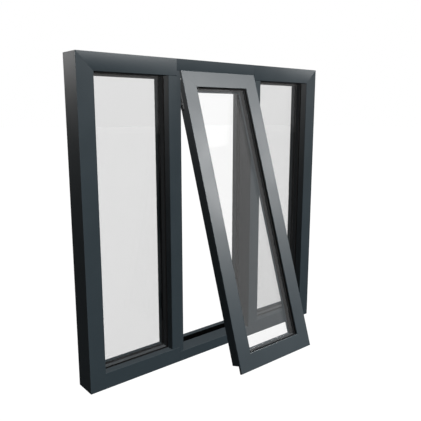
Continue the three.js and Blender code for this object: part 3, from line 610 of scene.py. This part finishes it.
def knob_tree():
    """A barrel with grip ribs: its radius follows one rule along its length and round its axis."""
    sizes = {
        "Radius": "Float",
        "Length": "Float",
        "Ribs": "Int",
        "Rib Height": "Float",
        "Centre": "Vector",
        "Material": "Material",
    }
    tree, given = new_geometry_tree("ribbed_knob", sizes)
    inputs = {"Vertices": 144, "Side Segments": 36, "Radius": 1.0, "Depth": 2.0}
    blank = add(tree, "GeometryNodeMeshCylinder", inputs, fill_type="NGON")
    place = add(tree, "GeometryNodeInputPosition")
    split = add(tree, "ShaderNodeSeparateXYZ", (place,)).outputs
    # The ends round off, and the middle swells.
    along = add(tree, "ShaderNodeMath", (split["Z"],), operation="ABSOLUTE")
    steep = add(tree, "ShaderNodeMath", (along, 14.0), operation="POWER")
    shoulder = add(tree, "ShaderNodeMath", (steep, 0.22), operation="MULTIPLY")
    gentle = add(tree, "ShaderNodeMath", (along, 2.0), operation="POWER")
    waist = add(tree, "ShaderNodeMath", (gentle, 0.12), operation="MULTIPLY")
    taper = add(tree, "ShaderNodeMath", (shoulder, waist), operation="ADD")
    barrel = add(tree, "ShaderNodeMath", (1.0, taper), operation="SUBTRACT")
    round_axis = add(tree, "ShaderNodeMath", (split["Y"], split["X"]), operation="ARCTAN2")
    turns = add(tree, "ShaderNodeMath", (round_axis, given["Ribs"]), operation="MULTIPLY")
    wave = add(tree, "ShaderNodeMath", (turns,), operation="COSINE")
    # The ribs run out before the ends.
    late = add(tree, "ShaderNodeMath", (along, 6.0), operation="POWER")
    fade = add(tree, "ShaderNodeMath", (1.0, late), operation="SUBTRACT")
    crest = add(tree, "ShaderNodeMath", (wave, fade), operation="MULTIPLY")
    half_crest = add(tree, "ShaderNodeMath", (crest, 0.5), operation="MULTIPLY")
    sunk_crest = add(tree, "ShaderNodeMath", (half_crest, 0.5), operation="SUBTRACT")
    rib = add(tree, "ShaderNodeMath", (sunk_crest, given["Rib Height"]), operation="MULTIPLY")
    smooth = add(tree, "ShaderNodeMath", (barrel, given["Radius"]), operation="MULTIPLY")
    radius = add(tree, "ShaderNodeMath", (smooth, rib), operation="ADD")
    half = add(tree, "ShaderNodeMath", (given["Length"], 0.5), operation="MULTIPLY")
    # The blank stands along Z, and the knob lies along Y.
    x = add(tree, "ShaderNodeMath", (split["X"], radius), operation="MULTIPLY")
    y = add(tree, "ShaderNodeMath", (split["Z"], half), operation="MULTIPLY")
    up = add(tree, "ShaderNodeMath", (split["Y"], radius), operation="MULTIPLY")
    z = add(tree, "ShaderNodeMath", (up, -1), operation="MULTIPLY")
    shaped = add(tree, "ShaderNodeCombineXYZ", (x, y, z))
    inputs = {"Geometry": blank, "Position": shaped, "Offset": given["Centre"]}
    knob = add(tree, "GeometryNodeSetPosition", inputs)
    end_geometry_tree(tree, knob, given["Material"])
    return tree


def finished_mesh(made, material):
    """The mesh of a bmesh, with one material slot."""
    mesh = bpy.data.meshes.new("made")
    made.to_mesh(mesh)
    made.free()
    mesh.materials.append(material)
    return mesh


def loft(rings, material):
    """Skins a stack of rings of equally many points, closed at both ends."""
    made = bmesh.new()
    rows = [[made.verts.new(point) for point in ring] for ring in rings]
    count = len(rows[0])
    for lower, upper in zip(rows, rows[1:]):
        for i in range(count):
            j = (i + 1) % count
            made.faces.new((lower[i], lower[j], upper[j], upper[i]))
    made.faces.new(rows[0])
    made.faces.new(rows[-1])
    bmesh.ops.recalc_face_normals(made, faces=made.faces)
    return finished_mesh(made, material)


def rounded_layers(front, back, edge, steps=5):
    """(y, inset) pairs of a slab from front to back whose two rims are rounded by edge."""
    quarter = [math.pi / 2 * i / steps for i in range(steps + 1)]
    near = [(front + edge * (1 - math.sin(a)), edge * (1 - math.cos(a))) for a in reversed(quarter)]
    far = [(back - edge * (1 - math.sin(a)), edge * (1 - math.cos(a))) for a in quarter]
    return near + far


def strip_ring(ends, y, inset, steps=24):
    """A ring round two discs, given as (x, z, radius), drawn in by inset."""
    (x0, z0, r0), (x1, z1, r1) = ends
    heading = math.atan2(z1 - z0, x1 - x0)
    points = []
    for x, z, radius, start in ((x1, z1, r1, -math.pi / 2), (x0, z0, r0, math.pi / 2)):
        for i in range(steps + 1):
            angle = heading + start + math.pi * i / steps
            reach = radius - inset
            points.append((x + reach * math.cos(angle), y, z + reach * math.sin(angle)))
    return points


def plate_ring(low, high, corner, y, inset, steps=8):
    """A rounded rectangle in the plane of the window, drawn in by inset."""
    radius = max(corner - inset, 0.1 * MM)
    points = []
    corners = (
        (high.x, high.z, 0),
        (low.x, high.z, 1),
        (low.x, low.z, 2),
        (high.x, low.z, 3),
    )
    for x, z, quarter in corners:
        inward_x = -1 if x == high.x else 1
        inward_z = -1 if z == high.z else 1
        centre_x = x + inward_x * (inset + radius)
        centre_z = z + inward_z * (inset + radius)
        for i in range(steps + 1):
            angle = math.pi / 2 * (quarter + i / steps)
            points.append(
                (centre_x + radius * math.cos(angle), y, centre_z + radius * math.sin(angle))
            )
    return points


def turned_rings(x, z, profile, steps=48):
    """Rings about an axis along Y for (y, radius) points."""
    turns = [2 * math.pi * i / steps for i in range(steps)]
    return [
        [(x + radius * math.cos(a), y, z + radius * math.sin(a)) for a in turns]
        for y, radius in profile
    ]


def joined(*meshes):
    """One mesh from several, with the first one's first material slot.

    Set Material leaves that slot empty on a grown mesh, so rows of screws show no material.
    """
    made = bmesh.new()
    for mesh in meshes:
        made.from_mesh(mesh)
    return finished_mesh(made, meshes[0].materials[0])


def joint_sheets(nodes, along, gap, material):
    """Thin sheets that fill the joints at both ends of bars that run in one direction."""
    made = bmesh.new()
    for node in nodes:
        bar = bmesh.new()
        bar.from_mesh(frame["nodes"][node].data)
        bmesh.ops.remove_doubles(bar, verts=bar.verts, dist=0.001 * MM)
        for way in (1, -1):
            end = [face for face in bar.faces if face.normal.dot(along) * way > END_FACING]
            fill_joint(made, end, gap)
        bar.free()
    bmesh.ops.recalc_face_normals(made, faces=made.faces)
    return finished_mesh(made, material)


def fill_joint(made, end, gap):
    """A closed sheet in front of a bar's end faces, a sixth of the gap short of both bars."""
    outward = end[0].normal
    # A dictionary keeps the corners in the order in which the faces name them.
    corners = dict.fromkeys(corner for face in end for corner in face.verts)
    near, far = (
        {corner: made.verts.new(corner.co + outward * gap * share) for corner in corners}
        for share in (1 / 6, 5 / 6)
    )
    for face in end:
        for layer in (near, far):
            made.faces.new([layer[corner] for corner in face.verts])
        for edge in face.edges:
            if sum(other in end for other in edge.link_faces) == 1:
                a, b = edge.verts
                made.faces.new((near[a], near[b], far[b], far[a]))


# ---- operators ----


class WINDOW_OT_profiles(Operator):
    """Coat the frame, the sash and the glazing beads, and seal their mitres."""

    bl_idname = "window.profiles"
    bl_label = "Coat profiles"

    def execute(self, context):
        coat = context.scene.window_coat
        give(powder_coat("powder_coat_frame", coat), *nodes_with("jamb", "sill", "mullion"))
        give(powder_coat("powder_coat_sash", coat), *nodes_with("stile", "_rail"))
        give(powder_coat("powder_coat_beads", coat), *nodes_with("_bead_"))
        crowns = {
            "head_left": coat.crown_left,
            "head_centre": coat.crown_centre,
            "head_right": coat.crown_right,
        }
        for node, crown in crowns.items():
            give(powder_coat(f"powder_coat_{node}", coat, node, crown), node)
        sealant = mitre_sealant("mitre_sealant", coat.sealant)
        uprights = nodes_with("jamb", "stile", "_bead_left", "_bead_right")
        for body, along in (("frame", Vector((0, 0, 1))), ("sash", -down_the_sash())):
            nodes = [name for name in uprights if name.startswith("sash") == (body == "sash")]
            sheets = joint_sheets(nodes, along, coat.mitre_gap, sealant)
            settle(f"mitre_sheets_{body}", sheets, body)
        return {"FINISHED"}


class WINDOW_OT_glazing(Operator):
    """Finish the panes, their spacers and the rubber round them."""

    bl_idname = "window.glazing"
    bl_label = "Finish glazing"

    def execute(self, context):
        glazing = context.scene.window_glazing
        panes = nodes_with("_pane")
        sash_panes = [name for name in panes if name.startswith("sash")]
        # The fixed lights have toughened panes with a grey tinge, and the sash has clear ones.
        give(float_glass("toughened_float_glass", glazing.fixed_tint), *panes)
        give(float_glass("clear_float_glass", glazing.sash_tint), *sash_panes)
        give(epdm_rubber("extruded_epdm", glazing.rubber, gloss=0.1), *nodes_with("_gasket"))
        # The centre seal's near-black colour and lack of gloss are partly painted shade.
        give(epdm_rubber("foamed_epdm_and_painted_shade", glazing.seal, gloss=0.0), "centre_seal")
        bar = spacer_bar("satin_spacer_bar", glazing.spacer, glazing.butyl)
        give(bar, *nodes_with("_spacer"))
        return {"FINISHED"}


class WINDOW_OT_stays(Operator):
    """Finish the stays and drive their screws."""

    bl_idname = "window.stays"
    bl_label = "Finish stays"

    def execute(self, context):
        sizes = context.scene.window_hardware
        black = worked_steel(
            "blackened_steel", sizes.black_steel, roughness=0.58, metallic=0.3, cloud_size=9 * MM
        )
        give(black, *nodes_with("stay_track", "stay_arm", "sash_plate"))
        shoe = worked_steel(
            "phosphated_steel", sizes.shoe_steel, roughness=0.55, metallic=0.5, cloud_size=4 * MM
        )
        give(shoe, *nodes_with("stay_shoe"))
        tree = screw_row_tree()
        shared = {
            "Radius": sizes.stay_screw,
            "Rise": sizes.stay_screw_rise,
            "Recess": sizes.recess,
            "Sunk": 0.1 * MM,
            "Material": black,
        }
        upper = Vector(JOINTS["sash_hinge"]["pos_m"])
        pivot = Vector(JOINTS["stay_arm_hinge"]["pos_m"])
        down_sash = down_the_sash()
        # The first track screw is this far up from the arm's pivot to the shoe's.
        first_share = 0.55
        # The rows take up these shares of what is left of the track, and of the plate's height.
        track_share, plate_share = 0.5, 0.52
        rows = {"track_screws": [], "plate_screws": []}
        for side, inward in (("left", 1), ("right", -1)):
            # The track's screws sit between the arm's reach and the shoe's slot.
            low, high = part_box(f"stay_track_{side}")
            face = high.x if inward > 0 else low.x
            start = pivot.lerp(Vector((0, pivot.y, upper.z)), first_share)
            step = (upper.z - start.z) * track_share / sizes.track_screws
            values = {
                "Count": sizes.track_screws,
                "First": (face, start.y, start.z),
                "Step": (0, 0, step),
                "Axis": (inward, 0, 0),
                **shared,
            }
            rows["track_screws"].append(grow(f"track_row_{side}", tree, values))
            # The plate's screws sit between its two pivots.
            low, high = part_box(f"sash_plate_{side}")
            face = low.x if inward > 0 else high.x
            step = down_sash * (high.z - low.z) * plate_share / sizes.plate_screws
            first = upper + step
            values = {
                "Count": sizes.plate_screws,
                "First": (face, first.y, first.z),
                "Step": step[:],
                "Axis": (-inward, 0, 0),
                **shared,
            }
            rows["plate_screws"].append(grow(f"plate_row_{side}", tree, values))
        for name, body in (("track_screws", "frame"), ("plate_screws", "sash")):
            settle(name, joined(*rows[name]), body)
        return {"FINISHED"}


class WINDOW_OT_gear_box(Operator):
    """Build the cover of the gear box and drive its screws."""

    bl_idname = "window.gear_box"
    bl_label = "Build gear box cover"

    def execute(self, context):
        sizes = context.scene.window_hardware
        casting = painted_casting("painted_die_casting", sizes.casting)
        give(casting, "operator_housing", "operator_cover", "crank_arm")
        steel = worked_steel(
            "zinc_plated_steel", sizes.bright_steel, roughness=0.3, metallic=1.0, cloud_size=3 * MM
        )
        give(steel, "worm_wheel", "worm_shaft", "knob_pin", *nodes_with("cover_screw"))
        low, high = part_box("operator_cover")
        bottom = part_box("cover_screw_bottom")
        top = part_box("cover_screw_top")
        face = top[1].y - sizes.cover_screw_rise
        layers = rounded_layers(low.y, face, sizes.edge)
        corner = sizes.cover_corner
        rings = [plate_ring(low, high, corner, y, inset) for y, inset in layers]
        plate = loft(rings, casting)
        # A fillet joins the boss to the plate, and its mouth is chamfered.
        spindle = Vector(JOINTS["crank_turn"]["pos_m"])
        boss = sizes.boss_radius
        edge = sizes.edge
        profile = [(low.y + edge, boss + edge), (face, boss + edge)]
        steps = 5
        for i in range(1, steps + 1):
            angle = math.pi / 2 * i / steps
            reach = boss + edge * (1 - math.sin(angle))
            profile.append((face + edge * (1 - math.cos(angle)), reach))
        profile += [(high.y - edge / 2, boss), (high.y, boss - edge / 2)]
        mouth = loft(turned_rings(spindle.x, spindle.z, profile), casting)
        cover = settle("gear_box_cover", joined(plate, mouth), "frame")
        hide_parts("operator_cover")
        centres = [(box[0] + box[1]) / 2 for box in (bottom, top)]
        values = {
            "Count": 2,
            "First": (centres[0].x, face, centres[0].z),
            "Step": (0, 0, centres[1].z - centres[0].z),
            "Axis": (0, 1, 0),
            "Radius": sizes.cover_screw,
            "Rise": sizes.cover_screw_rise,
            "Recess": sizes.recess,
            "Sunk": 0.5 * MM,
            "Material": steel,
        }
        tree = bpy.data.node_groups["screw_row"]
        screws = settle("cover_screws", grow("cover_screws", tree, values), "frame")
        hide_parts("cover_screw_bottom", "cover_screw_top")
        return {"FINISHED"}


class WINDOW_OT_crank(Operator):
    """Build the crank's arm and its ribbed knob."""

    bl_idname = "window.crank"
    bl_label = "Build crank"

    def execute(self, context):
        sizes = context.scene.window_hardware
        casting = bpy.data.materials["painted_die_casting"]
        spindle = Vector(JOINTS["crank_turn"]["pos_m"])
        grip = Vector(JOINTS["knob_spin"]["pos_m"])
        low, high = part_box("crank_arm")
        hub = high.z - spindle.z
        ends = ((grip.x, grip.z, grip.z - low.z), (spindle.x, spindle.z, hub))
        layers = rounded_layers(high.y - sizes.crank_thickness, high.y, sizes.edge)
        blade = loft([strip_ring(ends, y, inset) for y, inset in layers], casting)
        # The hub's foot rounds off in two facets, and its other end is sunk in the blade.
        edge = sizes.edge
        facet = edge * 0.3
        profile = [
            (low.y, hub - edge),
            (low.y + facet, hub - facet),
            (low.y + edge, hub),
            (high.y - edge, hub),
        ]
        sleeve = loft(turned_rings(spindle.x, spindle.z, profile), casting)
        arm = settle("crank_lever", joined(blade, sleeve), "crank")
        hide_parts("crank_arm")
        values = {
            "Count": 1,
            "First": (spindle.x, high.y, spindle.z),
            "Step": (0, 0, 0),
            "Axis": (0, 1, 0),
            "Radius": sizes.hub_screw,
            "Rise": sizes.cover_screw_rise,
            "Recess": sizes.hub_recess,
            "Sunk": 0.5 * MM,
            "Material": bpy.data.materials["zinc_plated_steel"],
        }
        tree = bpy.data.node_groups["screw_row"]
        settle("hub_screw", grow("hub_screw", tree, values), "crank")
        low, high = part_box("crank_knob")
        values = {
            "Radius": (high.x - low.x) / 2,
            "Length": high.y - low.y,
            "Ribs": sizes.ribs,
            "Rib Height": sizes.rib_height,
            "Centre": (grip.x, (low.y + high.y) / 2, grip.z),
            "Material": moulded_nylon("moulded_nylon", sizes.nylon),
        }
        mesh = grow("ribbed_knob", knob_tree(), values)
        knob = settle("ribbed_knob", mesh, "knob")
        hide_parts("crank_knob")
        return {"FINISHED"}


class WINDOW_OT_stage(Operator):
    """Set up the floor, the sky, the lamps and the camera."""

    bl_idname = "window.stage"
    bl_label = "Set up stage"

    def execute(self, context):
        stage = context.scene.window_stage
        make_camera(stage)
        make_floor(stage)
        make_sky(stage)
        make_lamps(stage)
        context.scene.view_settings.view_transform = "Standard"
        return {"FINISHED"}


def make_camera(stage):
    camera = bpy.data.cameras.new("camera")
    camera.angle = stage.camera_view
    holder = new_piece("camera", camera)
    holder.location = stage.camera_place
    holder.rotation_euler = (math.pi / 2 - stage.camera_dip, 0, -stage.camera_heading)
    bpy.context.scene.camera = holder


def seen_plainly(tree):
    """1 for rays that come straight from the camera, or from it through panes alone."""
    path = add(tree, "ShaderNodeLightPath").outputs
    depths = (path["Glossy Depth"], path["Diffuse Depth"])
    bounces = add(tree, "ShaderNodeMath", depths, operation="ADD")
    straight = add(tree, "ShaderNodeMath", (bounces, 0.5), operation="LESS_THAN")
    inputs = (path["Is Transmission Ray"], straight)
    through = add(tree, "ShaderNodeMath", inputs, operation="MULTIPLY")
    return add(tree, "ShaderNodeMath", (path["Is Camera Ray"], through), operation="MAXIMUM")


def make_floor(stage):
    """A pale floor that glows where it is seen, takes a faint shadow and throws little light up."""
    half = stage.floor_size / 2
    mesh = bpy.data.meshes.new("floor")
    corners = [(-half, -half, 0), (half, -half, 0), (half, half, 0), (-half, half, 0)]
    mesh.from_pydata(corners, [], [(0, 1, 2, 3)])
    floor = new_piece("floor", mesh)
    material, tree, place, _ = new_material("studio_floor")
    # Glass and gloss see a darker floor, and only in front of the window.
    inputs = {"Color": shaded(WHITE, stage.floor_unseen)}
    grey = add(tree, "ShaderNodeBsdfDiffuse", inputs)
    depth = add(tree, "ShaderNodeSeparateXYZ", (place,)).outputs["Y"]
    front = add(tree, "ShaderNodeMapRange", (depth, -1, 0, stage.floor_mirrored, 0))
    glossy = add(tree, "ShaderNodeLightPath").outputs["Is Glossy Ray"]
    strength = add(tree, "ShaderNodeMath", (glossy, front), operation="MULTIPLY")
    glint = add(tree, "ShaderNodeEmission", {"Color": WHITE, "Strength": strength})
    dim = add(tree, "ShaderNodeAddShader", (grey, glint))
    inputs = {"Color": shaded(WHITE, stage.floor_seen)}
    pale = add(tree, "ShaderNodeBsdfDiffuse", inputs)
    # The glow grows where the lamps fade, so that floor and sky meet without a line.
    away = add(tree, "ShaderNodeVectorMath", (place,), operation="LENGTH")
    glows = (away, 1, 5, stage.glow_near, stage.glow_far)
    strength = add(tree, "ShaderNodeMapRange", glows)
    glow = add(tree, "ShaderNodeEmission", {"Color": WHITE, "Strength": strength})
    seen = add(tree, "ShaderNodeAddShader", (pale, glow))
    whole = add(tree, "ShaderNodeMixShader", (seen_plainly(tree), dim, seen))
    add(tree, "ShaderNodeOutputMaterial", {"Surface": whole})
    mesh.materials.append(material)


def make_sky(stage):
    """White where it is seen, and a soft sky above the horizon for light and reflections."""
    sky = bpy.data.worlds.new("studio_sky")
    sky.use_nodes = True
    tree = sky.node_tree
    tree.nodes.clear()
    direction = add(tree, "ShaderNodeTexCoord").outputs["Generated"]
    split = add(tree, "ShaderNodeSeparateXYZ", (direction,)).outputs
    # The sky fades below the horizon and brightens overhead, and behind the window it is dim.
    bright = 1.0
    for axis, start, end, low, high in (
        ("Z", -0.25, 0.10, 0, 1),
        ("Z", 0.3, 0.65, 1, stage.overhead),
        ("Y", -0.4, 0.3, 1, 0.3),
    ):
        inputs = (split[axis], start, end, low, high)
        share = add(tree, "ShaderNodeMapRange", inputs, interpolation_type="SMOOTHSTEP")
        bright = add(tree, "ShaderNodeMath", (bright, share), operation="MULTIPLY")
    soft, mirrored = (
        add(
            tree,
            "ShaderNodeBackground",
            {"Strength": add(tree, "ShaderNodeMath", (bright, strength), operation="MULTIPLY")},
        )
        for strength in (stage.sky, stage.mirrored)
    )
    white = add(tree, "ShaderNodeBackground", {"Color": WHITE})
    glossy = add(tree, "ShaderNodeLightPath").outputs["Is Glossy Ray"]
    unseen = add(tree, "ShaderNodeMixShader", (glossy, soft, mirrored))
    whole = add(tree, "ShaderNodeMixShader", (seen_plainly(tree), unseen, white))
    add(tree, "ShaderNodeOutputWorld", {"Surface": whole})
    bpy.context.scene.world = sky


def lamp_direction(azimuth, elevation):
    """Towards a lamp: azimuth from straight in front of the window, to the right."""
    side, up = math.radians(azimuth), math.radians(elevation)
    flat = math.cos(up)
    return Vector((math.sin(side) * flat, -math.cos(side) * flat, math.sin(up)))


def make_lamp(name, kind, energy, azimuth, elevation):
    """A lamp that faces the window's middle from the given direction."""
    lamp = bpy.data.lights.new(name, kind)
    lamp.energy = energy
    holder = new_piece(name, lamp)
    direction = lamp_direction(azimuth, elevation)
    holder.location = (CAD_BOX[0] + CAD_BOX[1]) / 2 + direction * LAMP_DISTANCE
    holder.rotation_euler = direction.to_track_quat("Z", "Y").to_euler()
    return lamp


def make_lamps(stage):
    softbox = make_lamp("softbox", "AREA", stage.softbox, azimuth=0, elevation=45)
    softbox.shape = "RECTANGLE"
    softbox.size = 4
    softbox.size_y = 2.4
    # Light bounced off the studio's walls fills the shadows and has next to no sheen.
    for name, strength, azimuth, elevation, sheen in (
        ("fill", stage.fill, 0, 57, 0),
        ("back_fill", stage.back_fill, 165, 55, 0.3),
    ):
        lamp = make_lamp(name, "SUN", strength, azimuth, elevation)
        lamp.specular_factor = sheen
        lamp.use_shadow = False
    # Small lamps draw only the sheen of the satin coat.
    for name, strength, azimuth, elevation in (
        ("sheen_high", stage.sheen_high, 40, 33),
        ("sheen_low", stage.sheen_low, 42, 21),
        ("rim", stage.rim, 201, 8),
        ("rim_inner", stage.rim_inner, 230, 8),
    ):
        lamp = make_lamp(name, "SUN", strength, azimuth, elevation)
        lamp.angle = 0
        lamp.diffuse_factor = 0
        lamp.use_shadow = False


class WINDOW_PT_panel(Panel):
    """Lists the window's sizes, colours and steps."""

    bl_label = "Crank Window"
    bl_idname = "WINDOW_PT_panel"
    bl_space_type = "VIEW_3D"
    bl_region_type = "UI"
    bl_category = "Crank Window"

    def draw(self, context):
        layout = self.layout
        for name in GROUPS:
            group = getattr(context.scene, name)
            column = layout.column()
            for key in group.__annotations__:
                column.prop(group, key)
        for operator in OPERATORS:
            layout.operator(operator.bl_idname)


GROUPS = {
    "window_coat": WINDOW_PG_coat,
    "window_glazing": WINDOW_PG_glazing,
    "window_hardware": WINDOW_PG_hardware,
    "window_stage": WINDOW_PG_stage,
}
OPERATORS = (
    WINDOW_OT_profiles,
    WINDOW_OT_glazing,
    WINDOW_OT_stays,
    WINDOW_OT_gear_box,
    WINDOW_OT_crank,
    WINDOW_OT_stage,
)


def register():
    for made in (*GROUPS.values(), *OPERATORS, WINDOW_PT_panel):
        bpy.utils.register_class(made)
    for name, group in GROUPS.items():
        setattr(bpy.types.Scene, name, PointerProperty(type=group))


def unregister():
    for name in GROUPS:
        delattr(bpy.types.Scene, name)
    for made in reversed((*GROUPS.values(), *OPERATORS, WINDOW_PT_panel)):
        bpy.utils.unregister_class(made)


def main():
    register()
    bpy.ops.window.profiles()
    bpy.ops.window.glazing()
    bpy.ops.window.stays()
    bpy.ops.window.gear_box()
    bpy.ops.window.crank()
    bpy.ops.window.stage()


if __name__ == "__main__":
    main()
